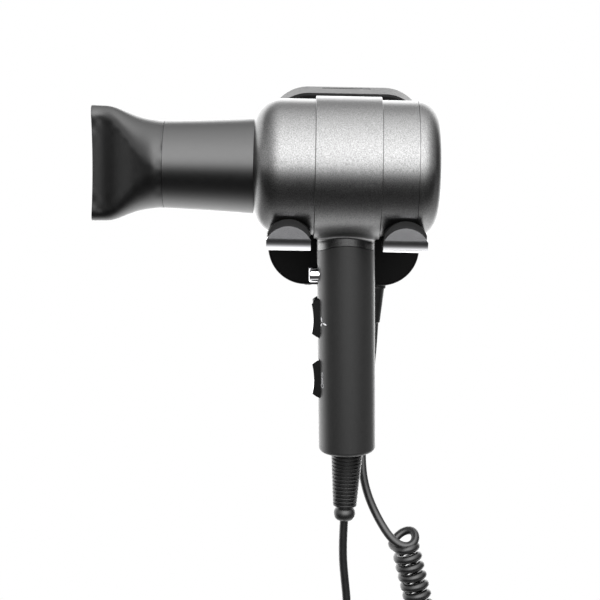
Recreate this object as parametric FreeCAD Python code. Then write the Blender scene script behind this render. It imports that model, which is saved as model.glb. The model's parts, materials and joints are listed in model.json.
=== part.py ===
# Wall holder with a corded hair dryer resting in it.
# Millimetres. +X to the right seen from the room, +Y into the wall, +Z up.
# The origin is the centre of the holder's wall face. Dryer parts are drawn about the
# point where the barrel axis meets the handle axis, then moved to their resting place.
import FreeCAD, Part
import math
import os

from FreeCAD import Vector

os.makedirs("parts", exist_ok=True)

# ---------------------------------------------------------------- driving sizes: holder
COVER_WIDTH = 103.0          # front outline, X
COVER_HEIGHT = 131.2         # front outline, Z
COVER_CORNER = 25.7          # front outline corner radius
COVER_DEPTH = 30.0           # wall to front face
COVER_DRAFT = 1.8            # growth of the outline per side, front to wall
COVER_WALL = 2.5
COVER_EDGE = 1.8             # rounding of the front edge
PLATE_THICK = 3.0
PLATE_GAP = 0.5              # plate edge to cover wall
WALL_HOLE_R = 2.5
WALL_SPACING_X = 72.0
WALL_SPACING_Z = 100.0
CABLE_ENTRY_R = 8.0
CABLE_ENTRY_Z = 38.0
SLOT_WIDTH = 33.0            # latch slot in the cover's top wall
SLOT_GAP = 2.2
SLOT_DEPTH_POS = 6.5         # slot centre, distance from the wall
ARM_CENTRE = 37.2            # arm centre line from the middle, X
ARM_WIDTH = 28.3
ARM_THICK = 3.0
ARM_ARCH_R = 15.5            # arched top edge of each tip
ARM_BEND_R = 9.0             # outer radius of the bend below the tip
ARM_FOOT_RISE = 34.0         # foot height above the strap
ARM_REACH = 39.0             # tip face in front of the barrel axis
ARM_TIP_DROP = 32.6          # arch top below the barrel axis
PAD_WIDTH = 26.8
PAD_UNDER = 2.0              # rubber under the body at its lowest line
PAD_STAND = 4.0              # rubber above the steel tip
PAD_RAMP = 22.0              # rubber behind the barrel axis, Y
BODY_CLEARANCE = 0.3         # rubber to body

# ---------------------------------------------------------------- driving sizes: dryer
DRYER_X = 0.0                # resting place of the dryer's own origin
DRYER_Y = -78.5
DRYER_Z = 22.1
BODY_R = 44.2
BODY_WALL = 2.2
BODY_FRONT_X = -60.5         # front lip of the body shell
BODY_REAR_X = 44.3
SHOULDER_R = 19.0
BAND_R = BODY_R + 2.0
BAND_HALF = 21.3
BAND_WALL = 2.5
BODY_SEAM = 0.2
CAP_END_X = 59.0
CAP_FILLET = 14.2
CAP_SEAM = 0.3
INTAKE_R = BODY_R - CAP_FILLET + 1.0
BARREL_FRONT_R = 28.5
BARREL_REAR_R = 31.2
BARREL_FRONT_X = -118.5
BARREL_WALL = 2.0
SPIGOT_R = 26.3
SPIGOT_LENGTH = 4.0
NOZZLE_CLEARANCE = 0.3       # collar bore over the spigot
NOZZLE_SEAM = 0.2
NOZZLE_WALL = 1.9
NOZZLE_END_X = -166.0
NOZZLE_HALF_HEIGHT = 37.7
NOZZLE_HALF_THICK = 6.5
NOZZLE_EDGE_R = 650.0        # hollow curve of the mouth seen from the side
NOZZLE_EDGE_SAG = 1.0
HANDLE_R = 18.95
HANDLE_WALL = 2.6
HANDLE_END_Z = -190.7
HANDLE_EDGE = 2.8
HANDLE_LEAN = 1.7            # degrees, foot of the handle towards the rear
LEAN_PIVOT_Z = -46.0         # the handle leans about this height, at the foot of the neck
BUSH_LEAN = -0.9             # the rubber bush hangs a little the other way
NECK_FILLET = 2.2
SADDLE_R = 34.1              # curved seam between neck and handle
SADDLE_LOW_Z = -53.8
SADDLE_GAP = 0.3
BUTTON_R = 4.9
BUTTON_Z = -70.4
BUTTON_END_X = -HANDLE_R - 5.4
BUTTON_TRAVEL = 3.0
BUTTON_GAP = 0.3
DISH_R = 20.8
DISH_DEPTH = 1.4
ROCKER_R = 14.07
ROCKER_PIVOT_X = 6.05 - HANDLE_R
ROCKER_WIDTH = 12.4
ROCKER_FACE_X = -HANDLE_R - 2.85   # middle of the hollow face
ROCKER_FACE_R = 46.0
ROCKER_GAP = 0.35
SPEED_Z = -98.8
HEAT_Z = -139.8
PIVOT_R = 1.5
PIVOT_RUN = 0.05             # running clearance of the pivots and of the motor shaft
MOTOR_R = 13.5
SHAFT_R = 1.5
SHROUD_OUT_R = BODY_R - 8.2
SHROUD_IN_R = SHROUD_OUT_R - 1.6
FAN_R = SHROUD_IN_R - 0.8

# ---------------------------------------------------------------- driving sizes: cord
CORD_D = 5.8
COIL_D = 21.0
BUSH_TOP_R = 10.7            # handle bush, first rib
BUSH_LOW_R = 8.1             # handle bush, last rib
BUSH_RIBS = 15
BUSH_RIB_PITCH = 2.62
BUSH_RIB_HEIGHT = 1.5
BUSH_GROOVE = 2.1            # groove depth between ribs
BUSH_NECK_R = 5.9
BUSH_BULB_R = 7.3
BUSH_LENGTH = 48.6
WALL_BUSH_X = 23.0
WALL_BUSH_Y = -15.0
WALL_BUSH_TOP_R = 6.4
WALL_BUSH_LOW_R = 3.9
WALL_BUSH_END_Z = -94.7
HANDLE_TAIL = [
    (3.5, -78.5, -217.35),
    (3.1, -78.5, -232.0),
    (4.0, -78.5, -250.0),
    (6.7, -78.5, -276.0),
    (7.6, -78.4, -306.0),
    (6.8, -78.3, -340.0),
    (5.2, -78.2, -374.0),
    (4.9, -78.0, -403.6),
    (23.7, -72.8, -422.8),
    (49.9, -65.4, -422.4),
    (68.3, -60.1, -402.8),
    (68.4, -59.9, -384.8),
]
COIL_AXIS = [
    (68.4, -59.9, -384.8),
    (67.6, -58.6, -350.8),
    (64.2, -56.0, -317.0),
    (57.6, -53.0, -283.4),
    (46.3, -50.0, -242.1),
]
WALL_TAIL = [
    (39.6, -50.3, -245.6),
    (28.4, -45.0, -229.0),
    (20.0, -41.0, -211.4),
    (16.0, -38.0, -193.5),
    (16.2, -31.0, -167.5),
    (19.3, -25.0, -141.5),
    (22.2, -18.4, -116.0),
    (23.0, -15.0, -95.2),
]

DRYER_AT = Vector(DRYER_X, DRYER_Y, DRYER_Z)
AXIS_X = Vector(1, 0, 0)
AXIS_Y = Vector(0, 1, 0)
AXIS_Z = Vector(0, 0, 1)
SEAM_Z = SADDLE_LOW_Z + SADDLE_R


# ---------------------------------------------------------------- helpers
def save(name, shape):
    if len(shape.Solids) == 1:
        shape = shape.Solids[0]
    ok = shape.isValid() and len(shape.Solids) > 0
    box = shape.BoundBox
    print("%-18s solids %d valid %s volume %.1f x %.1f..%.1f y %.1f..%.1f z %.1f..%.1f" % (
        name, len(shape.Solids), ok, shape.Volume,
        box.XMin, box.XMax, box.YMin, box.YMax, box.ZMin, box.ZMax))
    shape.exportStep("parts/%s.step" % name)


def save_dryer(name, shape):
    save(name, shape.translated(DRYER_AT))


def lean(shape):
    leaned = shape.copy()
    leaned.rotate(Vector(0, 0, LEAN_PIVOT_Z), AXIS_Y, -HANDLE_LEAN)
    return leaned


def upright_x(point):
    angle = math.radians(HANDLE_LEAN)
    return point.x * math.cos(angle) + (point.z - LEAN_PIVOT_Z) * math.sin(angle)


def save_handle(name, shape):
    save_dryer(name, lean(shape))


def box(x0, x1, y0, y1, z0, z1):
    return Part.makeBox(x1 - x0, y1 - y0, z1 - z0, Vector(x0, y0, z0))


def rod_x(radius, x0, x1, y=0.0, z=0.0):
    return Part.makeCylinder(radius, x1 - x0, Vector(x0, y, z), AXIS_X)


def rod_y(radius, y0, y1, x=0.0, z=0.0):
    return Part.makeCylinder(radius, y1 - y0, Vector(x, y0, z), AXIS_Y)


def rod_z(radius, z0, z1, x=0.0, y=0.0):
    return Part.makeCylinder(radius, z1 - z0, Vector(x, y, z0), AXIS_Z)


def ring_x(outer, inner, x0, x1):
    return rod_x(outer, x0, x1).cut(rod_x(inner, x0 - 1.0, x1 + 1.0))


def fuse_all(shapes):
    first = shapes[0]
    if len(shapes) > 1:
        first = first.fuse(shapes[1:])
    return first.removeSplitter()


def turned_x(shape, angle):
    """A copy of the shape, turned about the X axis."""
    copy = shape.copy()
    copy.rotate(Vector(0, 0, 0), AXIS_X, angle)
    return copy


def lathe(edges_or_points, axis):
    """A solid of revolution. Points are (along, radius); a pair of points is an arc, more are a spline."""
    edges = []
    last = None
    first = None
    for item in edges_or_points:
        if isinstance(item[0], tuple) and len(item) > 2:
            curve = Part.BSplineCurve()
            curve.interpolate([last] + [lathe_point(pair, axis) for pair in item])
            edges.append(curve.toShape())
            last = lathe_point(item[-1], axis)
        elif isinstance(item[0], tuple):
            mid = lathe_point(item[0], axis)
            end = lathe_point(item[1], axis)
            edges.append(Part.Arc(last, mid, end).toShape())
            last = end
        else:
            end = lathe_point(item, axis)
            if last is None:
                first = end
            else:
                edges.append(Part.makeLine(last, end))
            last = end
    if last.distanceToPoint(first) > 1e-6:
        edges.append(Part.makeLine(last, first))
    face = Part.Face(Part.Wire(edges))
    return face.revolve(Vector(0, 0, 0), axis, 360)


def lathe_point(pair, axis):
    if axis.x > 0.5:
        return Vector(pair[0], 0, pair[1])
    return Vector(pair[1], 0, pair[0])


def arc_mid(centre, radius, a0, a1):
    """The point half way along an arc, angles in degrees in the (along, radius) plane."""
    mid = math.radians((a0 + a1) / 2.0)
    return (centre[0] + radius * math.cos(mid), centre[1] + radius * math.sin(mid))


def arc_end(centre, radius, angle):
    turn = math.radians(angle)
    return (centre[0] + radius * math.cos(turn), centre[1] + radius * math.sin(turn))


def rounded_rect(width, height, corner, y):
    """A rounded rectangle in the plane of the wall, at depth y."""
    hw = width / 2.0
    hh = height / 2.0
    k = corner * (1.0 - math.sqrt(0.5))
    edges = [
        Part.makeLine(Vector(-hw + corner, y, hh), Vector(hw - corner, y, hh)),
        Part.Arc(Vector(hw - corner, y, hh), Vector(hw - k, y, hh - k), Vector(hw, y, hh - corner)).toShape(),
        Part.makeLine(Vector(hw, y, hh - corner), Vector(hw, y, -hh + corner)),
        Part.Arc(Vector(hw, y, -hh + corner), Vector(hw - k, y, -hh + k), Vector(hw - corner, y, -hh)).toShape(),
        Part.makeLine(Vector(hw - corner, y, -hh), Vector(-hw + corner, y, -hh)),
        Part.Arc(Vector(-hw + corner, y, -hh), Vector(-hw + k, y, -hh + k), Vector(-hw, y, -hh + corner)).toShape(),
        Part.makeLine(Vector(-hw, y, -hh + corner), Vector(-hw, y, hh - corner)),
        Part.Arc(Vector(-hw, y, hh - corner), Vector(-hw + k, y, hh - k), Vector(-hw + corner, y, hh)).toShape(),
    ]
    return Part.Wire(edges)


def edges_at(shape, test):
    found = []
    for edge in shape.Edges:
        mid = edge.valueAt((edge.FirstParameter + edge.LastParameter) / 2.0)
        if test(edge, mid):
            found.append(edge)
    return found


def cord_wire(points, name):
    """Straight runs joined by tangent arcs."""
    nodes = [Vector(*p) for p in points]
    edges = []
    radii = []
    start = nodes[0]
    for i in range(1, len(nodes) - 1):
        into = (nodes[i] - nodes[i - 1])
        out = (nodes[i + 1] - nodes[i])
        shorter = min(into.Length, out.Length)
        into.normalize()
        out.normalize()
        turn = into.getAngle(out)
        radius = 0.45 * shorter / math.tan(turn / 2.0)
        trim = 0.45 * shorter
        radii.append(radius)
        first = nodes[i] - into * trim
        last = nodes[i] + out * trim
        towards = (out - into)
        towards.normalize()
        middle = nodes[i] + towards * (radius / math.cos(turn / 2.0) - radius)
        edges.append(Part.LineSegment(start, first).toShape())
        edges.append(Part.Arc(first, middle, last).toShape())
        start = last
    edges.append(Part.LineSegment(start, nodes[-1]).toShape())
    wire = Part.Wire(edges)
    print("%s length %.1f, arc radii %s" % (name, wire.Length, ", ".join("%.0f" % r for r in radii)))
    return wire


def cord_tube(points, diameter, name):
    wire = cord_wire(points, name)
    start = Vector(*points[0])
    along = Vector(*points[1]) - start
    along.normalize()
    section = Part.Wire([Part.makeCircle(diameter / 2.0, start, along)])
    tube = wire.makePipeShell([section], True, False)
    expected = math.pi * diameter * diameter / 4.0 * wire.Length
    print("%s volume over section times length %.4f" % (name, tube.Volume / expected))
    return tube


def screw(radius, head_r, length, head_t, base, direction):
    """A pan-head screw: base is the point under the head, direction the way it drives."""
    shank = Part.makeCylinder(radius, length, base, direction)
    head = Part.makeCylinder(head_r, head_t, base - direction * head_t, direction)
    slot = Part.makeBox(head_r * 3.0, 0.8, 0.8, Vector(-head_r * 1.5, -0.4, -0.4))
    turn = FreeCAD.Rotation(AXIS_Z, direction)
    slot.Placement = FreeCAD.Placement(base - direction * head_t, turn)
    return shank.fuse(head).cut(slot)


# ---------------------------------------------------------------- holder: cover and plate
def make_cover():
    back_w = COVER_WIDTH + 2.0 * COVER_DRAFT
    back_h = COVER_HEIGHT + 2.0 * COVER_DRAFT
    back_c = COVER_CORNER + COVER_DRAFT
    outer = Part.makeLoft([
        rounded_rect(COVER_WIDTH, COVER_HEIGHT, COVER_CORNER, -COVER_DEPTH),
        rounded_rect(back_w, back_h, back_c, 0.0)], True, True)
    front = edges_at(outer, lambda e, m: abs(m.y + COVER_DEPTH) < 0.01)
    outer = outer.makeFillet(COVER_EDGE, front)
    inside = 2.0 * COVER_WALL
    inner = Part.makeLoft([
        rounded_rect(COVER_WIDTH - inside, COVER_HEIGHT - inside, COVER_CORNER - COVER_WALL,
                     -COVER_DEPTH + COVER_WALL),
        rounded_rect(back_w - inside, back_h - inside, back_c - COVER_WALL, 0.5)], True, True)
    shell = outer.cut(inner)
    tools = []
    for side in (-1.0, 1.0):
        near = side * (ARM_CENTRE - ARM_WIDTH / 2.0 - 0.4)
        far = side * (ARM_INSIDE_X + 0.4)
        tools.append(box(min(near, far), max(near, far), -COVER_DEPTH - 1.0, -COVER_DEPTH + COVER_WALL + 1.0,
                         STRAP_LOW_Z - 0.4, STRAP_TOP_Z + 0.4))
    tools.append(box(-SLOT_WIDTH / 2.0, SLOT_WIDTH / 2.0, -SLOT_DEPTH_POS - SLOT_GAP / 2.0,
                     -SLOT_DEPTH_POS + SLOT_GAP / 2.0, COVER_HEIGHT / 2.0 - 6.0, COVER_HEIGHT / 2.0 + 6.0))
    tools.append(rod_z(WALL_BUSH_GROOVE_R + 0.1, -COVER_HEIGHT / 2.0 - 6.0, -COVER_HEIGHT / 2.0 + 4.0,
                       WALL_BUSH_X, WALL_BUSH_Y))
    tools.append(rod_z(1.9, -COVER_HEIGHT / 2.0 - 6.0, -COVER_HEIGHT / 2.0 + 4.0, COVER_SCREW_X, COVER_SCREW_Y))
    return shell.cut(tools)


def make_wall_plate():
    back = 2.0 * (COVER_DRAFT - COVER_WALL - PLATE_GAP)
    corner = COVER_CORNER + COVER_DRAFT - COVER_WALL
    outline = rounded_rect(COVER_WIDTH + back, COVER_HEIGHT + back, corner, -PLATE_THICK)
    plate = Part.Face(outline).extrude(Vector(0, PLATE_THICK, 0))
    low = -COVER_HEIGHT / 2.0 + 2.8
    boss = box(COVER_SCREW_X - 5.0, COVER_SCREW_X + 5.0, -20.0, -PLATE_THICK, low, low + 10.0)
    top = COVER_HEIGHT / 2.0 - 1.8
    tab = box(-SLOT_WIDTH / 2.0 + 1.0, SLOT_WIDTH / 2.0 - 1.0, -SLOT_DEPTH_POS - 3.0, -PLATE_THICK,
              top - 4.0, top)
    nose = box(-SLOT_WIDTH / 2.0 + 1.0, SLOT_WIDTH / 2.0 - 1.0, -SLOT_DEPTH_POS - 0.4, -SLOT_DEPTH_POS + 0.4,
               top - 1.0, top + 0.8)
    plate = fuse_all([plate, boss, tab, nose])
    tools = []
    for sx in (-1.0, 1.0):
        for sz in (-1.0, 1.0):
            tools.append(rod_y(WALL_HOLE_R, -PLATE_THICK - 1.0, 1.0, sx * WALL_SPACING_X / 2.0,
                               sz * WALL_SPACING_Z / 2.0))
    tools.append(rod_y(CABLE_ENTRY_R, -PLATE_THICK - 1.0, 1.0, 0.0, CABLE_ENTRY_Z))
    tools.append(rod_z(1.5, low - 1.0, low + 9.0, COVER_SCREW_X, COVER_SCREW_Y))
    return plate.cut(tools)


COVER_SCREW_X = -24.0
COVER_SCREW_Y = -12.0
ARM_INSIDE_X = COVER_WIDTH / 2.0 - COVER_WALL - 0.6    # the arm is trimmed to this inside the cover
WALL_BUSH_GROOVE_R = 5.0
STRAP_TOP_Z = DRYER_Z - BODY_R - BODY_CLEARANCE - PAD_UNDER
STRAP_LOW_Z = STRAP_TOP_Z - ARM_THICK
TIP_Y = DRYER_Y - ARM_REACH
TIP_TOP_Z = DRYER_Z - ARM_TIP_DROP
FOOT_TOP_Z = STRAP_TOP_Z + ARM_FOOT_RISE


def arch_cut(shape, x, half, top_z, radius, y0, y1):
    """Round the top corners of a tip into one arch."""
    spring = top_z - radius + math.sqrt(radius * radius - half * half)
    corner = box(x - half - 1.0, x + half + 1.0, y0, y1, spring, top_z + 5.0)
    corner = corner.cut(rod_y(radius, y0 - 1.0, y1 + 1.0, x, top_z - radius))
    return shape.cut(corner)


def make_arm(x):
    points = [
        (-PLATE_THICK, FOOT_TOP_Z),
        (-PLATE_THICK, STRAP_LOW_Z),
        (TIP_Y, STRAP_LOW_Z),
        (TIP_Y, TIP_TOP_Z),
        (TIP_Y + ARM_THICK, TIP_TOP_Z),
        (TIP_Y + ARM_THICK, STRAP_TOP_Z),
        (-PLATE_THICK - ARM_THICK, STRAP_TOP_Z),
        (-PLATE_THICK - ARM_THICK, FOOT_TOP_Z),
    ]
    corners = [Vector(x - ARM_WIDTH / 2.0, y, z) for y, z in points]
    face = Part.Face(Part.makePolygon(corners + [corners[0]]))
    arm = face.extrude(Vector(ARM_WIDTH, 0, 0))
    rounds = [
        (-PLATE_THICK, STRAP_LOW_Z, 4.5),
        (-PLATE_THICK - ARM_THICK, STRAP_TOP_Z, 1.5),
        (TIP_Y, STRAP_LOW_Z, ARM_BEND_R),
        (TIP_Y + ARM_THICK, STRAP_TOP_Z, ARM_BEND_R - ARM_THICK),
    ]
    for y, z, radius in rounds:
        edge = edges_at(arm, lambda e, m: abs(m.y - y) < 0.01 and abs(m.z - z) < 0.01 and e.Length > 5.0)
        arm = arm.makeFillet(radius, edge)
    arm = arch_cut(arm, x, ARM_WIDTH / 2.0, TIP_TOP_Z, ARM_ARCH_R, TIP_Y - 2.0, TIP_Y + ARM_THICK + 2.0)
    holes = [box(-80.0, -ARM_INSIDE_X, -COVER_DEPTH - 0.5, 1.0, STRAP_LOW_Z - 1.0, FOOT_TOP_Z + 1.0),
             box(ARM_INSIDE_X, 80.0, -COVER_DEPTH - 0.5, 1.0, STRAP_LOW_Z - 1.0, FOOT_TOP_Z + 1.0)]
    for z in ARM_SCREW_Z:
        holes.append(rod_y(2.1, -PLATE_THICK - ARM_THICK - 1.0, -PLATE_THICK + 1.0, x, z))
    return arm.cut(holes)


ARM_SCREW_Z = (STRAP_TOP_Z + 11.0, STRAP_TOP_Z + 26.0)


def make_pad(x):
    half = PAD_WIDTH / 2.0
    front = TIP_Y + ARM_THICK
    top = TIP_TOP_Z + PAD_STAND
    block = box(x - half, x + half, front, DRYER_Y + PAD_RAMP, STRAP_TOP_Z, top)
    low = edges_at(block, lambda e, m: abs(m.y - front) < 0.01 and abs(m.z - STRAP_TOP_Z) < 0.01)
    block = block.makeFillet(ARM_BEND_R - ARM_THICK, low)
    body = rod_x(BODY_R + BODY_CLEARANCE, -200.0, 200.0, DRYER_Y, DRYER_Z)
    block = block.cut(body)
    block = arch_cut(block, x, half, top, ARM_ARCH_R - 1.0, front - 1.0, DRYER_Y - 10.0)
    return block


# ---------------------------------------------------------------- holder: small parts
def make_wall_bush():
    low = -COVER_HEIGHT / 2.0
    inner = low + COVER_WALL
    profile = [
        (inner + 3.0, 0.0),
        (inner + 3.0, 7.5),
        (inner + 0.6, 7.5),
        (inner + 0.6, WALL_BUSH_GROOVE_R),
        (low - 1.9, WALL_BUSH_GROOVE_R),
        (low - 1.9, WALL_BUSH_TOP_R + 0.9),
        (low - 4.0, WALL_BUSH_TOP_R + 0.9),
    ]
    profile.append((low - 4.0, WALL_BUSH_TOP_R))
    profile.append((WALL_BUSH_END_Z + 0.6, WALL_BUSH_LOW_R))
    profile.append((WALL_BUSH_END_Z, WALL_BUSH_LOW_R - 0.6))
    profile.append((WALL_BUSH_END_Z, 0.0))
    bush = lathe(profile, AXIS_Z)
    return bush.translated(Vector(WALL_BUSH_X, WALL_BUSH_Y, 0))


def make_terminal_block():
    block = box(-15.0, 15.0, -17.0, -PLATE_THICK, -8.0, 6.0)
    tools = []
    for x in TERMINAL_X:
        tools.append(rod_y(1.6, -18.0, -11.0, x, -1.0))
        tools.append(rod_z(1.7, -9.0, 7.0, x, -8.0))
    return block.cut(tools)


TERMINAL_X = (-9.0, 0.0, 9.0)


def make_cord_clamp():
    block = box(LEAD_X - 9.0, LEAD_X + 9.0, LEAD_Y - 6.0, LEAD_Y + 3.5, CLAMP_Z - 4.0, CLAMP_Z + 4.0)
    block = block.fuse(box(LEAD_X - 9.0, LEAD_X + 9.0, LEAD_Y + 3.5, -PLATE_THICK, CLAMP_Z - 4.0, CLAMP_Z + 4.0))
    tools = [rod_z(CORD_D / 2.0 + 0.3, CLAMP_Z - 5.0, CLAMP_Z + 5.0, LEAD_X, LEAD_Y)]
    for side in (-1.0, 1.0):
        tools.append(rod_y(1.4, LEAD_Y - 7.0, -PLATE_THICK + 1.0, LEAD_X + side * 6.4, CLAMP_Z))
    return block.cut(tools).removeSplitter()


LEAD_X = WALL_BUSH_X
LEAD_Y = WALL_BUSH_Y
CLAMP_Z = -50.0
CLAMP_FACE_Y = LEAD_Y - 6.0

# ---------------------------------------------------------------- dryer: barrel and nozzle
NOZZLE_SECTIONS = [
    (0.0, 0.0),
    (4.8, 0.021),
    (9.3, 0.088),
    (14.3, 0.19),
    (19.3, 0.35),
    (24.3, 0.56),
    (29.3, 0.78),
    (34.3, 0.945),
    (39.3, 0.993),
    (43.3, 1.0),
    (47.3, 1.0),
]
SECTION_POINTS = 56
NOZZLE_THIN = [0.0, 0.005, 0.068, 0.205, 0.368, 0.55, 0.732, 0.89, 0.982, 1.0, 1.0]


def nozzle_section(x, half_z, half_y):
    """A closed smooth outline, two half rounds joined by straight sides, sampled evenly."""
    straight = max(half_z - half_y, 0.0)
    quarter = straight + math.pi * half_y / 2.0
    points = []
    for i in range(SECTION_POINTS + 1):
        run = 4.0 * i / SECTION_POINTS
        corner = math.floor(run)
        along = run - corner
        if corner % 2 == 1:
            along = 1.0 - along
        way = along * quarter
        if way <= straight:
            y = half_y
            z = way
        else:
            angle = (way - straight) / half_y
            y = half_y * math.cos(angle)
            z = straight + half_y * math.sin(angle)
        if corner in (1, 2):
            y = -y
        if corner in (2, 3):
            z = -z
        points.append(Vector(x, y, z))
    points[-1] = points[0]
    curve = Part.BSplineCurve()
    curve.interpolate(Points=points, InitialTangent=AXIS_Z, FinalTangent=AXIS_Z)
    return Part.Wire([curve.toShape()])


def nozzle_body(shrink, x_extra):
    wires = []
    for i in range(len(NOZZLE_SECTIONS)):
        offset, share = NOZZLE_SECTIONS[i]
        x = BARREL_FRONT_X - NOZZLE_SEAM - offset * NOZZLE_SPAN
        if i == 0:
            x = x + x_extra
        if i == len(NOZZLE_SECTIONS) - 1:
            x = x - x_extra
        high = BARREL_FRONT_R + (NOZZLE_HALF_HEIGHT - BARREL_FRONT_R) * share - shrink
        thin = BARREL_FRONT_R + (NOZZLE_HALF_THICK - BARREL_FRONT_R) * NOZZLE_THIN[i] - shrink
        wires.append(nozzle_section(x, high, thin))
    return Part.makeLoft(wires, True, False)


NOZZLE_SPAN = (BARREL_FRONT_X - NOZZLE_SEAM - NOZZLE_END_X) / 47.3


def make_nozzle():
    outer = nozzle_body(0.0, 0.0)
    inner = nozzle_body(NOZZLE_WALL, 1.0)
    shell = outer.cut(inner)
    reach = NOZZLE_END_X + NOZZLE_EDGE_SAG - NOZZLE_EDGE_R
    shell = shell.cut(rod_y(NOZZLE_EDGE_R, -60.0, 60.0, reach, 0.0))
    bore = rod_x(SPIGOT_R + NOZZLE_CLEARANCE, BARREL_FRONT_X - SPIGOT_LENGTH - 0.3, BARREL_FRONT_X + 2.0)
    return shell.cut(bore)


def barrel_outer(x):
    share = (x - BARREL_FRONT_X) / (BODY_FRONT_X - BARREL_FRONT_X)
    return BARREL_FRONT_R + (BARREL_REAR_R - BARREL_FRONT_R) * (0.55 * share + 0.45 * share * share)


def make_barrel():
    profile = [
        (BARREL_FRONT_X - SPIGOT_LENGTH, SPIGOT_R),
        (BARREL_FRONT_X, SPIGOT_R),
        (BARREL_FRONT_X, BARREL_FRONT_R),
    ]
    span = BODY_FRONT_X - BARREL_FRONT_X
    stations = [BARREL_FRONT_X + span * share for share in (0.25, 0.5, 0.75, 1.0)]
    profile.append(tuple((x, barrel_outer(x)) for x in stations))
    profile.append((BODY_FRONT_X, BARREL_REAR_R - 0.4))
    profile.append((BARREL_FLANGE_X - 2.0, BARREL_REAR_R - 0.4))
    profile.append((BARREL_FLANGE_X - 2.0, BODY_R - BODY_WALL - 0.2))
    profile.append((BARREL_FLANGE_X, BODY_R - BODY_WALL - 0.2))
    profile.append((BARREL_FLANGE_X, BARREL_REAR_R - BARREL_WALL - 0.4))
    profile.append((BODY_FRONT_X, BARREL_REAR_R - BARREL_WALL - 0.4))
    profile.append((BARREL_FRONT_X + 2.5, BARREL_FRONT_R - BARREL_WALL))
    profile.append((BARREL_FRONT_X + 2.5, SPIGOT_R - 1.8))
    profile.append((BARREL_FRONT_X - SPIGOT_LENGTH, SPIGOT_R - 1.8))
    return lathe(profile, AXIS_X)


BARREL_FLANGE_X = -30.0


# ---------------------------------------------------------------- dryer: body shells
def make_front_shell():
    lip_r = BARREL_REAR_R + 0.8
    centre_r = BODY_R - SHOULDER_R
    drop = math.sqrt(SHOULDER_R ** 2 - (lip_r - centre_r) ** 2)
    centre = (BODY_FRONT_X + drop, centre_r)
    inner_r = SHOULDER_R - BODY_WALL
    lip_angle = math.degrees(math.atan2(lip_r - centre_r, -drop))
    in_drop = math.sqrt(inner_r ** 2 - (lip_r - centre_r) ** 2)
    in_angle = math.degrees(math.atan2(lip_r - centre_r, -in_drop))
    end = -BAND_HALF - BODY_SEAM
    profile = [
        arc_end(centre, SHOULDER_R, lip_angle),
        (arc_mid(centre, SHOULDER_R, lip_angle, 90.0), arc_end(centre, SHOULDER_R, 90.0)),
        (end, BODY_R),
        (end, BAND_R - BAND_WALL - 0.1),
        (end + 3.5, BAND_R - BAND_WALL - 0.1),
        (end + 3.5, BODY_R - BODY_WALL),
        (centre[0], BODY_R - BODY_WALL),
        (arc_mid(centre, inner_r, 90.0, in_angle), arc_end(centre, inner_r, in_angle)),
    ]
    return lathe(profile, AXIS_X)


def make_band():
    neck_low = SADDLE_LOW_Z - 3.0
    band = rod_x(BAND_R, -BAND_HALF, BAND_HALF)
    neck = lean(rod_z(HANDLE_R, neck_low, -20.0))
    whole = band.fuse(neck)

    def joins(edge, mid):
        low = mid.z < -30.0 and mid.z > neck_low + 4.0
        on_neck = abs(math.hypot(upright_x(mid), mid.y) - HANDLE_R) < 0.05
        return low and on_neck and abs(math.hypot(mid.y, mid.z) - BAND_R) < 0.05

    whole = whole.makeFillet(NECK_FILLET - 0.05, edges_at(whole, joins))
    rim = edges_at(whole, lambda e, m: abs(abs(m.x) - BAND_HALF) < 0.01)
    whole = whole.makeFillet(0.5, rim)
    whole = whole.cut(rod_x(BAND_R - BAND_WALL, -BAND_HALF - 1.0, BAND_HALF + 1.0))
    whole = whole.cut(lean(rod_z(HANDLE_R - HANDLE_WALL, neck_low - 1.0, -10.0)))
    saddle = lean(rod_x(SADDLE_R, -70.0, 70.0, 0.0, SEAM_Z))
    lower = box(-60.0, 60.0, -60.0, 60.0, -80.0, BAND_CUT_Z).cut(saddle)
    whole = whole.cut(lower)
    flange = ring_x(BAND_R - BAND_WALL + 0.2, FLANGE_IN_R, 16.0, 20.5)
    flange = flange.cut([rod_x(1.25, 12.0, 22.0, y, z) for y, z in SCREW_SPOTS])
    return whole.fuse(flange).removeSplitter()


BAND_CUT_Z = -46.3
FLANGE_IN_R = BODY_R - 7.6
SCREW_CIRCLE_R = BODY_R - 4.9
SCREW_SPOTS = [
    (SCREW_CIRCLE_R * math.cos(math.radians(a)), SCREW_CIRCLE_R * math.sin(math.radians(a)))
    for a in (30.0, 150.0, 210.0, 330.0)
]


def make_rear_shell():
    start = BAND_HALF + BODY_SEAM
    profile = [
        (start, BODY_R),
        (BODY_REAR_X, BODY_R),
        (BODY_REAR_X, BODY_R - BODY_WALL),
        (start + 3.0, BODY_R - BODY_WALL),
        (start + 3.0, FLANGE_IN_R),
        (start - 0.6, FLANGE_IN_R),
        (start - 0.6, BAND_R - BAND_WALL - 0.1),
        (start, BAND_R - BAND_WALL - 0.1),
    ]
    shell = lathe(profile, AXIS_X)
    return shell.cut([rod_x(1.7, 18.0, 28.0, y, z) for y, z in SCREW_SPOTS])


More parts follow.
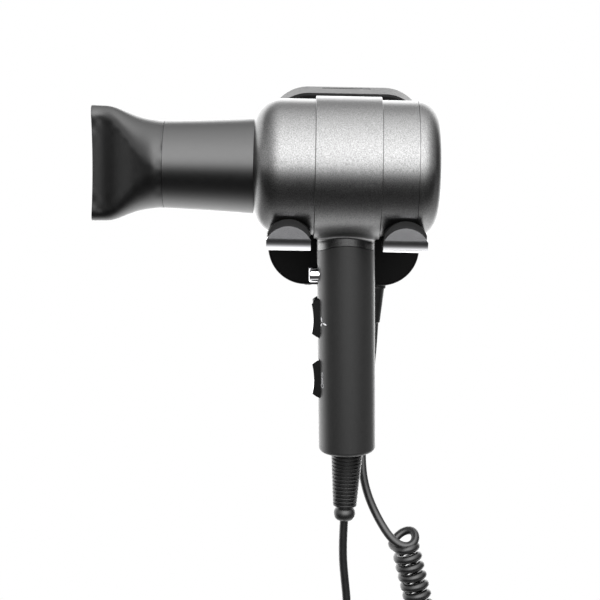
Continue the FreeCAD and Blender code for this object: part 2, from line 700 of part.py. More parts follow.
def make_cap_solid():
    start = BODY_REAR_X + CAP_SEAM
    outer = rod_x(BODY_R, start, CAP_END_X)
    rim = edges_at(outer, lambda e, m: abs(m.x - CAP_END_X) < 0.01)
    outer = outer.makeFillet(min(CAP_FILLET, CAP_END_X - start - 0.1), rim)
    hollow = rod_x(BODY_R - BODY_WALL, start - 1.0, CAP_END_X - BODY_WALL)
    rim = edges_at(hollow, lambda e, m: abs(m.x - (CAP_END_X - BODY_WALL)) < 0.01)
    hollow = hollow.makeFillet(CAP_FILLET - BODY_WALL, rim)
    cap = outer.cut(hollow)
    cap = cap.cut(rod_x(INTAKE_R, start - 2.0, CAP_END_X + 2.0))
    lip_r = BODY_R - BODY_WALL - 0.3
    lip = ring_x(lip_r, lip_r - 1.6, start - 3.0, start + 1.5)
    bridge = ring_x(BODY_R - BODY_WALL + 0.1, lip_r - 1.6, start, start + 1.5)
    seat = ring_x(SCREEN_R + 3.2, SCREEN_R + 0.3, SCREEN_X, SCREEN_X + 2.2)
    return fuse_all([cap, lip, bridge, seat])


SCREEN_R = INTAKE_R + 2.6
SCREEN_X = 54.6


def ring_grille(outer, x0, x1, rings, width, spokes, hub):
    parts = [ring_x(outer, outer - width * 1.3, x0, x1), rod_x(hub, x0, x1)]
    for radius in rings:
        parts.append(ring_x(radius + width / 2.0, radius - width / 2.0, x0, x1))
    for i in range(spokes):
        bar = box(x0, x1, -width / 2.0, width / 2.0, hub - 0.5, outer - width * 0.5)
        parts.append(turned_x(bar, 360.0 * i / spokes))
    return fuse_all(parts)


def make_screen():
    parts = [ring_x(SCREEN_R, SCREEN_R - 2.4, SCREEN_X, SCREEN_X + 1.2)]
    pitch = 5.0
    for i in range(-6, 7):
        reach = math.sqrt(max((SCREEN_R - 1.2) ** 2 - (i * pitch) ** 2, 0.0))
        parts.append(box(SCREEN_X + 0.2, SCREEN_X + 0.7, i * pitch - 0.3, i * pitch + 0.3, -reach, reach))
        parts.append(box(SCREEN_X + 0.2, SCREEN_X + 0.7, -reach, reach, i * pitch - 0.3, i * pitch + 0.3))
    return fuse_all(parts)


# ---------------------------------------------------------------- dryer: inside
def make_heater_frame():
    flat = box(HEATER_X0, HEATER_X1, -0.4, 0.4, -FRAME_R, FRAME_R)
    cross = box(HEATER_X0, HEATER_X1, -FRAME_R, FRAME_R, -0.4, 0.4)
    return flat.fuse(cross).removeSplitter()


HEATER_X0 = -104.0
HEATER_X1 = -48.0
FRAME_R = 20.2
COIL_WIRE_R = 0.6
HEAT_COIL_R = FRAME_R + COIL_WIRE_R + 0.4
SLEEVE_R = 25.9


def make_heater_coil():
    """Rings of wire round the frame, joined one to the next by short links on alternate sides."""
    span = HEATER_X1 - HEATER_X0 - 12.0
    count = 10
    pitch = span / (count - 1.0)
    parts = []
    for i in range(count):
        x = HEATER_X0 + 6.0 + i * pitch
        parts.append(Part.makeTorus(HEAT_COIL_R, COIL_WIRE_R, Vector(x, 0, 0), AXIS_X))
        if i < count - 1:
            side = HEAT_COIL_R if i % 2 == 0 else -HEAT_COIL_R
            parts.append(rod_x(COIL_WIRE_R * 0.8, x, x + pitch, side, 0.0))
    return fuse_all(parts)


def make_shroud():
    tube = ring_x(SHROUD_OUT_R, SHROUD_IN_R, -24.0, 38.0)
    hub = ring_x(MOTOR_R + 2.0, MOTOR_R + 0.1, -20.0, 10.0)
    seat = ring_x(MOTOR_R + 2.0, 6.0, -22.0, -20.0)
    parts = [tube, hub, seat]
    for i in range(7):
        vane = box(-18.0, 6.0, -0.8, 0.8, MOTOR_R + 1.0, SHROUD_IN_R + 0.8)
        parts.append(turned_x(vane, 360.0 * i / 7.0))
    return fuse_all(parts)


def make_motor():
    can = rod_x(MOTOR_R, -20.0, 12.0)
    can = can.makeFillet(1.2, edges_at(can, lambda e, m: abs(m.x - 12.0) < 0.01 and e.Length > 5.0))
    nose = rod_x(4.0, 11.5, 14.5)
    return can.fuse(nose).cut(rod_x(SHAFT_R + PIVOT_RUN, -21.0, 16.0)).removeSplitter()


def make_impeller():
    hub = rod_x(11.0, 17.0, 30.0)
    hub = hub.makeFillet(4.0, edges_at(hub, lambda e, m: abs(m.x - 30.0) < 0.01))
    parts = [hub]
    for i in range(7):
        blade = box(-7.5, 7.5, -0.8, 0.8, 9.5, FAN_R - 1.0)
        blade.rotate(Vector(0, 0, 0), AXIS_Z, 38.0)
        blade.translate(Vector(23.5, 0, 0))
        parts.append(turned_x(blade, 360.0 * i / 7.0))
    fan = fuse_all(parts)
    fan = fan.common(rod_x(FAN_R, 15.0, 34.0))
    return fan.cut(rod_x(SHAFT_R, 10.0, 26.0))


# ---------------------------------------------------------------- dryer: handle
def make_handle():
    outer = rod_z(HANDLE_R, HANDLE_END_Z, -40.0)
    outer = outer.makeFillet(HANDLE_EDGE, edges_at(outer, lambda e, m: abs(m.z - HANDLE_END_Z) < 0.01))
    inner = rod_z(HANDLE_R - HANDLE_WALL, HANDLE_END_Z + HANDLE_WALL, -39.0)
    shell = outer.cut(inner)
    shell = shell.cut(rod_x(SADDLE_R + SADDLE_GAP, -60.0, 60.0, 0.0, SEAM_Z))
    shell = shell.cut(box(-60.0, 60.0, -60.0, 60.0, SEAM_Z - 12.0, 10.0))
    low = SADDLE_LOW_Z - 8.0
    spigot_r = HANDLE_R - HANDLE_WALL - 0.25
    spigot = rod_z(spigot_r, low, -46.8).cut(rod_z(spigot_r - 1.8, low - 1.0, -40.0))
    web = rod_z(HANDLE_R - HANDLE_WALL + 0.4, low, low + 2.0).cut(rod_z(spigot_r - 1.8, low - 1.0, low + 3.0))
    shell = fuse_all([shell, spigot, web])
    tools = [
        rod_y(DISH_R, -20.0, 20.0, -HANDLE_R - DISH_R + DISH_DEPTH, BUTTON_Z),
        rod_x(BUTTON_R + BUTTON_GAP, -HANDLE_R - 5.0, -8.0, 0.0, BUTTON_Z),
        rod_z(BUSH_SHANK_R + 0.2, HANDLE_END_Z - 2.0, HANDLE_END_Z + HANDLE_WALL + 1.0),
    ]
    half = ROCKER_WIDTH / 2.0 + ROCKER_GAP
    for z in (SPEED_Z, HEAT_Z):
        well = rod_y(ROCKER_R + ROCKER_GAP, -half, half, ROCKER_PIVOT_X, z)
        tools.append(well.common(box(-40.0, ROCKER_PIVOT_X + 3.0, -20.0, 20.0, z - 30.0, z + 30.0)))
    return shell.cut(tools)


BUSH_SHANK_R = 7.3


def make_button():
    end = BUTTON_END_X
    button = rod_x(BUTTON_R, end, -12.0, 0.0, BUTTON_Z)
    rim = edges_at(button, lambda e, m: abs(m.x - end) < 0.01)
    button = button.makeFillet(1.1, rim)
    flange = rod_x(BUTTON_R + 1.7, -HANDLE_R + HANDLE_WALL + 1.6, -12.2, 0.0, BUTTON_Z)
    return button.fuse(flange).removeSplitter()


def make_rocker(z):
    half = ROCKER_WIDTH / 2.0
    disc = rod_y(ROCKER_R, -half, half, ROCKER_PIVOT_X, z)
    disc = disc.cut(rod_y(ROCKER_FACE_R, -half - 1.0, half + 1.0, ROCKER_FACE_X - ROCKER_FACE_R, z))
    disc = disc.cut(box(ROCKER_PIVOT_X + 1.7, 30.0, -20.0, 20.0, z - 30.0, z + 30.0))
    rim = edges_at(disc, lambda e, m: m.x < ROCKER_FACE_X + 0.3 and abs(abs(m.y) - half) < 0.01 and e.Length > 5.0)
    disc = disc.makeFillet(0.6, rim)
    pivot = rod_y(PIVOT_R, -half - PIVOT_REACH, half + PIVOT_REACH, ROCKER_PIVOT_X, z)
    return disc.fuse(pivot).removeSplitter()


PIVOT_REACH = 1.4


def make_rocker_switch(z):
    half = ROCKER_WIDTH / 2.0
    x0 = ROCKER_PIVOT_X + 4.7
    body = box(x0, 2.0, -9.0, 9.0, z - 10.0, z + 10.0)
    parts = [body]
    for side in (-1.0, 1.0):
        inner = half + 0.5
        outer = half + PIVOT_REACH + 0.2
        y0 = min(side * inner, side * outer)
        ear = box(ROCKER_PIVOT_X - 1.4, x0 + 1.0, y0, y0 + outer - inner, z - 4.0, z + 4.0)
        parts.append(ear)
    whole = fuse_all(parts)
    bore = rod_y(PIVOT_R + PIVOT_RUN, -20.0, 20.0, ROCKER_PIVOT_X, z)
    whole = whole.cut(bore.cut(box(-40.0, 40.0, -half - 0.4, half + 0.4, z - 5.0, z + 5.0)))
    return whole


def make_handle_bush():
    start = HANDLE_END_Z
    profile = [
        (start + HANDLE_WALL + 4.0, 0.0),
        (start + HANDLE_WALL + 4.0, 9.5),
        (start + HANDLE_WALL + 0.6, 9.5),
        (start + HANDLE_WALL + 0.6, BUSH_SHANK_R),
        (start - 0.5, BUSH_SHANK_R),
    ]
    top = start - 0.5
    for i in range(BUSH_RIBS):
        radius = BUSH_TOP_R + (BUSH_LOW_R - BUSH_TOP_R) * i / (BUSH_RIBS - 1.0)
        profile.append((top, radius - 0.25))
        profile.append((top - 0.25, radius))
        profile.append((top - BUSH_RIB_HEIGHT + 0.25, radius))
        profile.append((top - BUSH_RIB_HEIGHT, radius - 0.25))
        profile.append((top - BUSH_RIB_HEIGHT, radius - BUSH_GROOVE))
        profile.append((top - BUSH_RIB_PITCH, radius - BUSH_GROOVE))
        top = top - BUSH_RIB_PITCH
    end = start - BUSH_LENGTH
    profile.append((top, BUSH_NECK_R))
    profile.append((top - 0.9, BUSH_NECK_R))
    bulb = (top - 0.9 + end) / 2.0
    profile.append(((bulb, BUSH_BULB_R), (end, BUSH_NECK_R - 0.4)))
    profile.append((end, 0.0))
    bush = lathe(profile, AXIS_Z)
    bush.rotate(Vector(0, 0, HANDLE_END_Z), AXIS_Y, HANDLE_LEAN - BUSH_LEAN)
    return bush


# ---------------------------------------------------------------- build: holder
save("holder_cover", make_cover())
save("wall_plate", make_wall_plate())
save("arm_left", make_arm(-ARM_CENTRE))
save("arm_right", make_arm(ARM_CENTRE))
save("pad_left", make_pad(-ARM_CENTRE))
save("pad_right", make_pad(ARM_CENTRE))
for side_name, side_x in (("left", -ARM_CENTRE), ("right", ARM_CENTRE)):
    pair = []
    for screw_z in ARM_SCREW_Z:
        under = Vector(side_x, -PLATE_THICK - ARM_THICK, screw_z)
        pair.append(screw(2.0, 3.8, ARM_THICK, 2.4, under, AXIS_Y))
    save("arm_screws_" + side_name, Part.makeCompound(pair))
save("terminal_block", make_terminal_block())
term = [screw(1.4, 1.5, 3.4, 0.9, Vector(x, -16.0, -1.0), AXIS_Y) for x in TERMINAL_X]
save("terminal_screws", Part.makeCompound(term))
save("cord_clamp", make_cord_clamp())
clamp = []
for side_sign in (-1.0, 1.0):
    spot = Vector(LEAD_X + side_sign * 6.4, CLAMP_FACE_Y, CLAMP_Z)
    clamp.append(screw(1.3, 2.4, 17.0, 1.6, spot, AXIS_Y))
save("clamp_screws", Part.makeCompound(clamp))
save("wall_cord_bush", make_wall_bush())
cover_low = -COVER_HEIGHT / 2.0 - COVER_DRAFT * (1.0 + COVER_SCREW_Y / COVER_DEPTH)
save("cover_screw", screw(1.4, 3.2, 9.0, 1.8, Vector(COVER_SCREW_X, COVER_SCREW_Y, cover_low - 0.3), AXIS_Z))
inner_start = -COVER_HEIGHT / 2.0 + COVER_WALL + 3.0
wall_lead = [
    (LEAD_X, LEAD_Y, inner_start),
    (LEAD_X, LEAD_Y, inner_start + 16.0),
    (LEAD_X - 10.4, LEAD_Y + 2.0, inner_start + 36.0),
    (9.0, LEAD_Y + 4.0, -8.8),
]
save("wall_lead", cord_tube(wall_lead, CORD_D, "wall_lead"))
save("cord_handle_tail", cord_tube(HANDLE_TAIL, CORD_D, "cord_handle_tail"))
save("cord_coil", cord_tube(COIL_AXIS, COIL_D, "cord_coil"))
save("cord_wall_tail", cord_tube(WALL_TAIL, CORD_D, "cord_wall_tail"))

# ---------------------------------------------------------------- build: dryer
save_dryer("nozzle", make_nozzle())
save_dryer("barrel", make_barrel())
save_dryer("body_front_shell", make_front_shell())
save_dryer("body_band", make_band())
save_dryer("body_rear_shell", make_rear_shell())
save_dryer("rear_cap", make_cap_solid())
save_dryer("rear_grille", ring_grille(INTAKE_R - 0.2, CAP_END_X - 2.4, CAP_END_X - 0.4, (8.0, 13.0, 18.0, 23.0),
                                      1.5, 6, 4.0))
save_dryer("filter_screen", make_screen())
save_dryer("outlet_grille", ring_grille(25.9, -113.0, -110.5, (7.0, 12.5, 18.0), 1.2, 4, 3.0))
save_dryer("heater_frame", make_heater_frame())
save_dryer("heater_coil", make_heater_coil())
save_dryer("mica_sleeve", ring_x(SLEEVE_R, SLEEVE_R - 0.5, HEATER_X0 - 1.0, HEATER_X1 + 10.0))
save_dryer("thermostat", box(-62.0, -54.0, 0.6, 5.6, 4.0, 14.0))
save_dryer("thermal_fuse", rod_x(1.5, -66.0, -54.0, 3.0, -9.0))
save_dryer("motor", make_motor())
save_dryer("fan_shroud", make_shroud())
long_screws = [screw(1.2, 2.5, 10.0, 1.8, Vector(BAND_HALF + BODY_SEAM + 3.0, y, z), Vector(-1, 0, 0))
               for y, z in SCREW_SPOTS]
save_dryer("housing_screws", Part.makeCompound(long_screws))
save_dryer("motor_shaft", rod_x(SHAFT_R, -26.0, 26.0))
save_dryer("impeller", make_impeller())
save_handle("handle_shell", make_handle())
save_handle("push_button", make_button())
save_handle("speed_rocker", make_rocker(SPEED_Z))
save_handle("heat_rocker", make_rocker(HEAT_Z))
save_handle("speed_switch", make_rocker_switch(SPEED_Z))
save_handle("heat_switch", make_rocker_switch(HEAT_Z))
save_handle("button_switch", box(-12.0 + BUTTON_TRAVEL + 0.6, 2.0, -5.0, 5.0, BUTTON_Z - 6.0, BUTTON_Z + 6.0))
save_handle("handle_cord_bush", make_handle_bush())
inner_lead = [
    (0.0, 0.0, HANDLE_END_Z + HANDLE_WALL + 4.0),
    (0.5, 0.0, HANDLE_END_Z + HANDLE_WALL + 18.0),
    (7.5, 0.0, -150.0),
    (7.6, 0.6, -120.0),
    (7.0, 0.0, -88.0),
    (6.2, 0.0, -62.0),
]
save_handle("handle_lead", cord_tube(inner_lead, CORD_D, "handle_lead"))
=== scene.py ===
import json
import math

import bpy
from mathutils import Matrix, Vector


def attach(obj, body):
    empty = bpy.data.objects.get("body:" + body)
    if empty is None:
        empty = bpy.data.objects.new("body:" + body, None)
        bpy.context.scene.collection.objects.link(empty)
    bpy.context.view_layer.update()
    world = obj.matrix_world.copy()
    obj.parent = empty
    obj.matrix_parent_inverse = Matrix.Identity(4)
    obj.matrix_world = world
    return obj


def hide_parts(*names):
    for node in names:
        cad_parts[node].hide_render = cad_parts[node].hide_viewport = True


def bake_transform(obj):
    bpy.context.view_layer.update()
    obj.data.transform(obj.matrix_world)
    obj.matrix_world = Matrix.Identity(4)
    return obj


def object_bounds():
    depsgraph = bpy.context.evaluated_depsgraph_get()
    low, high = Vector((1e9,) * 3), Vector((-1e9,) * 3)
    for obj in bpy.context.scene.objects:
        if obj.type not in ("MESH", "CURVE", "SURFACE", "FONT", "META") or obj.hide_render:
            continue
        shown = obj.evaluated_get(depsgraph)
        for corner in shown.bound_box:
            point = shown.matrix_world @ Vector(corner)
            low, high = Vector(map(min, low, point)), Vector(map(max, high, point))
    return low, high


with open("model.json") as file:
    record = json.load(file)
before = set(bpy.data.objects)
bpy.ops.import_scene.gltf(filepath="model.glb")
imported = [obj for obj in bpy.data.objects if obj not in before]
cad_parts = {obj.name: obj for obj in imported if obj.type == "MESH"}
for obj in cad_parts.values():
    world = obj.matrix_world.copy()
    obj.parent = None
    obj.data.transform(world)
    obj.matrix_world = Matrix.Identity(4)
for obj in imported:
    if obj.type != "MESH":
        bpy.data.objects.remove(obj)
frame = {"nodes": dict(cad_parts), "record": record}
size_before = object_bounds()

# ---------------------------------------------------------------- sizes shared with the CAD
DRYER_AT = Vector((0.0, -0.0785, 0.0221))
HANDLE_R = 0.01895
HANDLE_LEAN = math.radians(1.7)
LEAN_PIVOT_Z = -0.046
CORD_D = 0.0058


# ---------------------------------------------------------------- node helpers
def node(tree, kind, inputs=None, **props):
    made = tree.nodes.new(kind)
    for name, value in props.items():
        setattr(made, name, value)
    for name, value in (inputs or {}).items():
        if isinstance(value, bpy.types.NodeSocket):
            tree.links.new(value, made.inputs[name])
        else:
            made.inputs[name].default_value = value
    return made


def math_node(tree, operation, a, b=0.0):
    return node(tree, "ShaderNodeMath", {0: a, 1: b}, operation=operation).outputs[0]


def ramp(tree, fac, stops, interpolation="LINEAR"):
    """A ramp of grey levels at positions from 0 to 1; the levels may be above 1."""
    made = node(tree, "ShaderNodeValToRGB", {"Fac": fac})
    made.color_ramp.interpolation = interpolation
    points = made.color_ramp.elements
    while len(points) < len(stops):
        points.new(0.5)
    for i, (position, level) in enumerate(stops):
        points[i].position = position
        points[i].color = (level, level, level, 1.0)
    return made.outputs["Color"]


# ---------------------------------------------------------------- materials
MOTTLE_SCALE = 260.0         # clouds to the metre
SPECKLE_SCALE = 1900.0       # flakes to the metre


def surface(name, grey, roughness, metallic=0.0, ior=1.5, grain=None, mottle=0.0, speckle=0.0, tint=None):
    """A plastic or a metal; grain is (cell size, depth) in metres.

    Mottle moves the roughness by that much either way, and speckle moves the grey by that share.
    """
    material = bpy.data.materials.new(name)
    material.use_nodes = True
    tree = material.node_tree
    shader = tree.nodes["Principled BSDF"]
    red, green, blue = tint or (1.0, 1.0, 1.03)
    shader.inputs["Base Color"].default_value = (grey * red, grey * green, grey * blue, 1.0)
    shader.inputs["Roughness"].default_value = roughness
    shader.inputs["Metallic"].default_value = metallic
    shader.inputs["IOR"].default_value = ior
    where = node(tree, "ShaderNodeTexCoord").outputs["Object"]
    if mottle:
        cloud = node(tree, "ShaderNodeTexNoise", {"Vector": where, "Scale": MOTTLE_SCALE, "Detail": 3.0})
        limits = {0: cloud.outputs["Fac"], 3: roughness - mottle, 4: roughness + mottle}
        spread = node(tree, "ShaderNodeMapRange", limits)
        tree.links.new(spread.outputs[0], shader.inputs["Roughness"])
    if speckle:
        flakes = node(tree, "ShaderNodeTexNoise", {"Vector": where, "Scale": SPECKLE_SCALE, "Detail": 1.0})
        darkest = grey * (1.0 - speckle)
        lightest = grey * (1.0 + speckle)
        limits = {0: flakes.outputs["Fac"], 1: 0.3, 2: 0.7, 3: darkest, 4: lightest}
        tree.links.new(node(tree, "ShaderNodeMapRange", limits).outputs[0], shader.inputs["Base Color"])
    if grain:
        dots = node(tree, "ShaderNodeTexNoise", {"Vector": where, "Scale": 1.0 / grain[0], "Detail": 2.0})
        relief = {"Strength": 1.0, "Distance": grain[1], "Height": dots.outputs["Fac"]}
        bump = node(tree, "ShaderNodeBump", relief)
        tree.links.new(bump.outputs["Normal"], shader.inputs["Normal"])
    return material


FINE = (0.0004, 0.000008)
COARSE = (0.0009, 0.00002)
MATERIALS = {
    "base_plastic": surface("base_plastic", 0.0015, 0.42, ior=1.18, grain=COARSE, mottle=0.05),
    "arm_steel": surface("arm_steel", 0.42, 0.19, metallic=1.0, grain=FINE, mottle=0.04),
    "pad_rubber": surface("pad_rubber", 0.003, 0.5, ior=1.3, grain=COARSE),
    "screw_steel": surface("screw_steel", 0.45, 0.3, metallic=1.0),
    "terminal_plastic": surface("terminal_plastic", 0.55, 0.4, tint=(1.0, 1.0, 0.95)),
    "cord_rubber": surface("cord_rubber", 0.004, 0.36, grain=FINE, mottle=0.06),
    "barrel_plastic": surface("barrel_plastic", 0.0020, 0.30, ior=1.58, grain=FINE, mottle=0.04),
    "nozzle_plastic": surface("nozzle_plastic", 0.0018, 0.31, ior=1.52, grain=FINE, mottle=0.04),
    "gunmetal": surface("gunmetal", 0.140, 0.30, metallic=1.0, grain=FINE, mottle=0.03, speckle=0.35),
    "mica": surface("mica", 0.35, 0.5, tint=(1.0, 0.78, 0.52)),
    "heater_wire": surface("heater_wire", 0.40, 0.35, metallic=1.0),
    "motor_steel": surface("motor_steel", 0.45, 0.35, metallic=1.0),
    "handle_soft_touch": surface("handle_soft_touch", 0.0085, 0.42, grain=FINE, mottle=0.04, speckle=0.30),
    "button_chrome": surface("button_chrome", 0.80, 0.08, metallic=1.0),
    "rocker_gloss": surface("rocker_gloss", 0.003, 0.14),
    "grille_dark": surface("grille_dark", 0.008, 0.4, grain=FINE),
    "filter_mesh": surface("filter_mesh", 0.25, 0.4, metallic=1.0),
}
INKS = {"mark_fan": surface("ink_white", 0.62, 0.5), "mark_heat": surface("ink_grey", 0.30, 0.5)}

SHARP_FROM = math.radians(28.0)
slots = {entry["node"]: entry["material_slot"] for entry in frame["record"]["subparts"]}
for name, obj in frame["nodes"].items():
    obj.data.materials.clear()
    obj.data.materials.append(MATERIALS[slots[name]])
    obj.data.shade_smooth()
    obj.data.set_sharp_from_angle(angle=SHARP_FROM)


# ---------------------------------------------------------------- curly cord
COIL_D = 0.0212              # outside the turns
COIL_PITCH = 0.0069
TURN_TILT = math.radians(8.0)
TURN_POINTS = 24             # points to a turn
START_ANGLE = -150.0         # where the first turn starts round the coil's middle line, in degrees
LINE_STEP = 0.0005           # between points of the coil's middle line
FIRST_STEP = 8               # steps of that line above the first turn
RUN_OUT_STEPS = 30           # steps of it that the run-out below the last turn takes
RUN_OUT_POINTS = 15
RUN_OUT_ANGLE = 170.0        # how far the run-out still turns, in degrees
ROUTE_STEP = 0.0018          # between points of the finished cord
SMOOTHING_PASSES = 2


def mesh_of(curve):
    """The curve's shape as a mesh."""
    shown = bpy.data.objects.new(curve.name, curve)
    bpy.context.scene.collection.objects.link(shown)
    bpy.context.view_layer.update()
    mesh = bpy.data.meshes.new_from_object(shown.evaluated_get(bpy.context.evaluated_depsgraph_get()))
    bpy.data.objects.remove(shown)
    return mesh


def spline_points(control):
    """Points along a smooth line led by the control points."""
    curve = bpy.data.curves.new("route", "CURVE")
    curve.dimensions = "3D"
    curve.resolution_u = 10
    line = curve.splines.new("NURBS")
    line.points.add(len(control) - 1)
    for point, place in zip(line.points, control):
        point.co = (place[0], place[1], place[2], 1.0)
    line.order_u = 3
    line.use_endpoint_u = True
    mesh = mesh_of(curve)
    places = [vertex.co.copy() for vertex in mesh.vertices]
    bpy.data.meshes.remove(mesh)
    return places


def even(places, step):
    """The same line with points a steady distance apart."""
    found = [places[0].copy()]
    left = step
    for a, b in zip(places, places[1:]):
        length = (b - a).length
        done = 0.0
        while length - done > left:
            done = done + left
            found.append(a + (b - a) * (done / length))
            left = step
        left = left - (length - done)
    if (found[-1] - places[-1]).length > step * 0.3:
        found.append(places[-1].copy())
    else:
        found[-1] = places[-1].copy()
    return found


def smoothed(places):
    """The same line with its corners evened out and both ends kept."""
    inner = [(a + b * 2.0 + c) / 4.0 for a, b, c in zip(places, places[1:], places[2:])]
    return [places[0]] + inner + [places[-1]]


def coil_sides(line, k):
    """Down the coil, and across it to the right and to the back, at point k of its middle line."""
    down = (line[min(k + 6, len(line) - 1)] - line[max(k - 6, 0)]).normalized()
    right = (Vector((1, 0, 0)) - down * down.x).normalized()
    back = right.cross(down)
    if back.y < 0:
        back = -back
    return down, right, back


def spoke(tilted, back, angle):
    return tilted * math.cos(angle) + back * math.sin(angle)


def wound_coil(control):
    """The turns of the coil, then a run-out that brings the cord in to the coil's middle line."""
    middle = even(spline_points(control), LINE_STEP)
    radius = (COIL_D - CORD_D) / 2.0
    last = len(middle) - 1 - RUN_OUT_STEPS
    turns = (last - FIRST_STEP) * LINE_STEP / COIL_PITCH
    steps = int(turns * TURN_POINTS)
    wound = []
    for i in range(steps + 1):
        share = FIRST_STEP + (last - FIRST_STEP) * i / steps
        k = min(int(share), len(middle) - 2)
        centre = middle[k].lerp(middle[k + 1], share - k)
        down, right, back = coil_sides(middle, k)
        tilted = right * math.cos(TURN_TILT) - down * math.sin(TURN_TILT)
        angle = math.radians(START_ANGLE + 360.0 * i / TURN_POINTS)
        wound.append(centre + spoke(tilted, back, angle) * radius)
    for i in range(1, RUN_OUT_POINTS):
        ease = i / RUN_OUT_POINTS
        grow = 1.0 - ease * ease * (3.0 - 2.0 * ease)
        turn = angle + math.radians(RUN_OUT_ANGLE * ease)
        spot = centre + down * (LINE_STEP * RUN_OUT_STEPS * ease)
        wound.append(spot + spoke(tilted, back, turn) * radius * grow)
    return wound


WALL_TAIL = [
    (0.0230, -0.0150, -0.0947),
    (0.0223, -0.0180, -0.1150),
    (0.0192, -0.0240, -0.1410),
    (0.0160, -0.0310, -0.1675),
    (0.0160, -0.0380, -0.1935),
    (0.0200, -0.0410, -0.2114),
    (0.0284, -0.0450, -0.2288),
    (0.0384, -0.0530, -0.2418),
    (0.0482, -0.0560, -0.2455),
    (0.0550, -0.0525, -0.2415),
    (0.0536, -0.0435, -0.2355),
    (0.0432, -0.0415, -0.2390),
    (0.0376, -0.0465, -0.2462),
]
COIL_AXIS = [
    (0.0462, -0.0500, -0.2421),
    (0.0576, -0.0530, -0.2834),
    (0.0642, -0.0560, -0.3169),
    (0.0676, -0.0586, -0.3508),
    (0.0684, -0.0599, -0.3848),
]
HANDLE_TAIL = [
    (0.0684, -0.0599, -0.3848),
    (0.0683, -0.0601, -0.4028),
    (0.0499, -0.0654, -0.4224),
    (0.0238, -0.0728, -0.4228),
    (0.0050, -0.0780, -0.4036),
    (0.0054, -0.0782, -0.3736),
    (0.0068, -0.0783, -0.3396),
    (0.0082, -0.0784, -0.3056),
    (0.0068, -0.0785, -0.2756),
    (0.0050, -0.0785, -0.2611),
    (0.0034, -0.0785, -0.2467),
    (0.0030, -0.0785, -0.2320),
    (0.0035, -0.0785, -0.2170),
]

coil = wound_coil(COIL_AXIS)
upper = spline_points(WALL_TAIL)
lower = spline_points(HANDLE_TAIL)
route = even(upper + coil[2:] + lower[1:], ROUTE_STEP)
for sweep in range(SMOOTHING_PASSES):
    route = smoothed(route)

curve = bpy.data.curves.new("cord_line", "CURVE")
curve.dimensions = "3D"
line = curve.splines.new("POLY")
line.points.add(len(route) - 1)
for point, place in zip(line.points, route):
    point.co = (place.x, place.y, place.z, 1.0)
curve.bevel_depth = CORD_D / 2.0
curve.bevel_resolution = 5
curve.use_fill_caps = True
tube = mesh_of(curve)
cord = bpy.data.objects.new("cord_curly", tube)
bpy.context.scene.collection.objects.link(cord)
tube.materials.clear()
tube.materials.append(MATERIALS["cord_rubber"])
tube.shade_smooth()
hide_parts("cord_wall_tail", "cord_coil", "cord_handle_tail")
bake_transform(cord)


# ---------------------------------------------------------------- printed switch marks
MARK_LIFT = 0.00006          # how far the ink stands off the handle
FAN_AT = (math.radians(-57.0), -0.0786)
THERMOMETER_AT = (math.radians(-59.0), -0.1176)


def print_mark(name, shapes, round_angle, height):
    """Flat shapes, in metres, wrapped on the handle; across runs round it and up runs along it."""
    points = []
    faces = []
    for shape in shapes:
        centre = (sum(p[0] for p in shape) / len(shape), sum(p[1] for p in shape) / len(shape))
        base = len(points)
        points.extend([centre] + list(shape))
        count = len(shape)
        for i in range(count):
            faces.append((base, base + 1 + i, base + 1 + (i + 1) % count))
    places = []
    radius = HANDLE_R + MARK_LIFT
    for across, up in points:
        angle = round_angle + across / HANDLE_R
        x = radius * math.sin(angle)
        z = height + up - DRYER_AT.z - LEAN_PIVOT_Z
        leaned_x = x * math.cos(HANDLE_LEAN) - z * math.sin(HANDLE_LEAN)
        leaned_z = x * math.sin(HANDLE_LEAN) + z * math.cos(HANDLE_LEAN)
        places.append(DRYER_AT + Vector((leaned_x, -radius * math.cos(angle), LEAN_PIVOT_Z + leaned_z)))
    mesh = bpy.data.meshes.new(name)
    mesh.from_pydata(places, [], faces)
    mesh.materials.append(INKS[name])
    made = bpy.data.objects.new(name, mesh)
    bpy.context.scene.collection.objects.link(made)
    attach(made, "dryer")
    return made


def blade(turn, reach):
    """One egg-shaped blade of the fan mark, from the middle out."""
    outline = []
    for i in range(16):
        t = 2.0 * math.pi * i / 16.0
        x = reach * (0.56 - 0.44 * math.cos(t))
        y = 0.00048 * math.sin(t) * (1.0 - 0.3 * math.cos(t))
        outline.append((x * math.cos(turn) - y * math.sin(turn), x * math.sin(turn) + y * math.cos(turn)))
    return outline


def ring_pieces(cx, cy, outer, inner, count, start=0.0, end=2.0 * math.pi):
    """A flat ring, or a part of one, as four-sided shapes."""
    pieces = []
    for i in range(count):
        a = start + (end - start) * i / count
        b = start + (end - start) * (i + 1) / count
        pieces.append([
            (cx + outer * math.cos(a), cy + outer * math.sin(a)),
            (cx + outer * math.cos(b), cy + outer * math.sin(b)),
            (cx + inner * math.cos(b), cy + inner * math.sin(b)),
            (cx + inner * math.cos(a), cy + inner * math.sin(a)),
        ])
    return pieces


def bar(x0, x1, y0, y1):
    return [(x0, y0), (x1, y0), (x1, y1), (x0, y1)]


BLADES = [(-12.0, 0.0044), (112.0, 0.0040), (232.0, 0.0034)]
fan = [blade(math.radians(turn), reach) for turn, reach in BLADES]
print_mark("mark_fan", fan, *FAN_AT)
thermometer = ring_pieces(0.0, -0.0036, 0.0017, 0.0012, 14, math.radians(120), math.radians(420))
thermometer += ring_pieces(0.0, 0.0044, 0.00095, 0.00045, 8, 0.0, math.pi)
thermometer += [bar(-0.00095, -0.00045, -0.0022, 0.0044), bar(0.00045, 0.00095, -0.0022, 0.0044)]
thermometer += [bar(-0.0002, 0.0002, -0.0036, 0.0016)]
print_mark("mark_heat", thermometer, *THERMOMETER_AT)

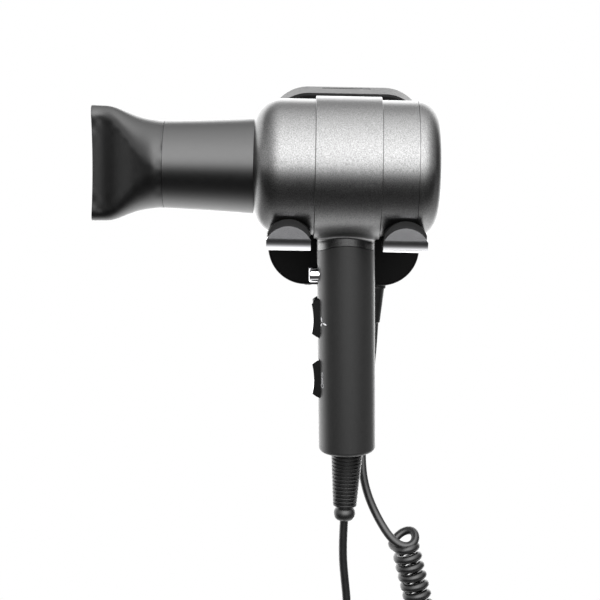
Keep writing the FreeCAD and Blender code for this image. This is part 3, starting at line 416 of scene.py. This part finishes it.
# ---------------------------------------------------------------- camera
CAMERA_AT = (-0.0292, -1.2213, 0.1767)
CAMERA_TILT = math.radians(78.0)
CAMERA_ROLL = math.radians(1.10)

camera_data = bpy.data.cameras.new("camera")
camera_data.lens = 106.2
camera_data.sensor_width = 36.0
camera_data.clip_end = 20.0
camera = bpy.data.objects.new("camera", camera_data)
bpy.context.scene.collection.objects.link(camera)
camera.location = CAMERA_AT
camera.rotation_euler = (CAMERA_TILT, 0.0, 0.0)
aim = camera.rotation_euler.to_matrix()
camera.rotation_mode = "QUATERNION"
camera.rotation_quaternion = (aim @ Matrix.Rotation(CAMERA_ROLL, 3, "Z")).to_quaternion()
bpy.context.scene.camera = camera

# ---------------------------------------------------------------- surroundings
STRENGTH = 10.0
# Brightness by the angle round the X axis, in degrees: 0 is the room, 90 is up and 180 is the wall.
BY_HEIGHT = [
    (-180, 0.8), (-150, 1.5), (-125, 2.9), (-100, 3.0), (-84, 1.7), (-71, 0.8), (-61, 0.3), (-50, 0.14),
    (-40, 0.06), (-24, 0.05), (-14, 0.15), (-6, 0.6), (3, 2.6), (14, 6.2), (30, 7.2), (55, 6.2), (80, 4.6),
    (105, 2.9), (128, 1.2), (145, 0.8), (180, 0.8),
]
# The share of it that is left from one side to the other, -1 at the left and 1 at the right.
BY_SIDE = [
    (-1.0, 0.26), (-0.75, 0.20), (-0.5, 0.34), (-0.2, 0.88),
    (0.1, 1.0), (0.45, 0.9), (0.8, 0.28), (1.0, 0.10),
]
BACKDROP = 0.27              # the light of the wall behind the dryer


def smooth_step(tree, value, low, high, at_low, at_high):
    limits = {0: value, 1: low, 2: high, 3: at_low, 4: at_high}
    return node(tree, "ShaderNodeMapRange", limits, interpolation_type="SMOOTHSTEP").outputs[0]


def mixed(tree, blend_type, a, b):
    made = node(tree, "ShaderNodeMix", {0: 1.0, 6: a, 7: b}, data_type="RGBA", blend_type=blend_type)
    return made.outputs[2]


world = bpy.data.worlds.new("studio")
bpy.context.scene.world = world
world.use_nodes = True
tree = world.node_tree
tree.nodes.clear()
way = node(tree, "ShaderNodeTexCoord").outputs["Generated"]
parts = node(tree, "ShaderNodeSeparateXYZ", {"Vector": way}).outputs
towards = math_node(tree, "MULTIPLY", parts["Y"], -1.0)
height = math_node(tree, "ARCTAN2", parts["Z"], towards)
height = math_node(tree, "DIVIDE", height, 2.0 * math.pi)
height = math_node(tree, "ADD", height, 0.5)
level = ramp(tree, height, [((a + 180.0) / 360.0, b / STRENGTH) for a, b in BY_HEIGHT])
side = math_node(tree, "MULTIPLY_ADD", parts["X"], 0.5)
side.node.inputs[2].default_value = 0.5
across = ramp(tree, side, [((a + 1.0) / 2.0, b) for a, b in BY_SIDE])
both = mixed(tree, "MULTIPLY", level, across)
leftwards = math_node(tree, "MULTIPLY", parts["X"], -0.35)
rear = math_node(tree, "ADD", parts["Y"], leftwards)
behind = smooth_step(tree, rear, 0.30, 0.75, 0.0, BACKDROP)
tall = math_node(tree, "ABSOLUTE", parts["Z"])
flat = smooth_step(tree, tall, 0.42, 0.62, 1.0, 0.0)
backdrop = math_node(tree, "MULTIPLY", behind, flat)
total = mixed(tree, "ADD", both, backdrop)
studio = node(tree, "ShaderNodeBackground", {"Color": total, "Strength": STRENGTH})
# The camera sees plain white; only the surfaces see the studio.
plain = node(tree, "ShaderNodeBackground", {"Color": (1.0, 1.0, 1.0, 1.0), "Strength": 1.0})
ray = node(tree, "ShaderNodeLightPath").outputs["Is Camera Ray"]
choose = node(tree, "ShaderNodeMixShader", {0: ray, 1: studio.outputs[0], 2: plain.outputs[0]})
tree.links.new(choose.outputs[0], node(tree, "ShaderNodeOutputWorld").inputs["Surface"])

bpy.context.scene.view_settings.view_transform = "Standard"
bpy.context.scene.view_settings.look = "None"

size_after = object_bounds()


def as_lists(value):
    if isinstance(value, dict):
        return {key: as_lists(item) for key, item in value.items()}
    if hasattr(value, "__len__") and not isinstance(value, str):
        return [as_lists(item) for item in value]
    return value if isinstance(value, (str, int, bool)) or value is None else float(value)


{"before": as_lists(size_before), "after": as_lists(size_after)}
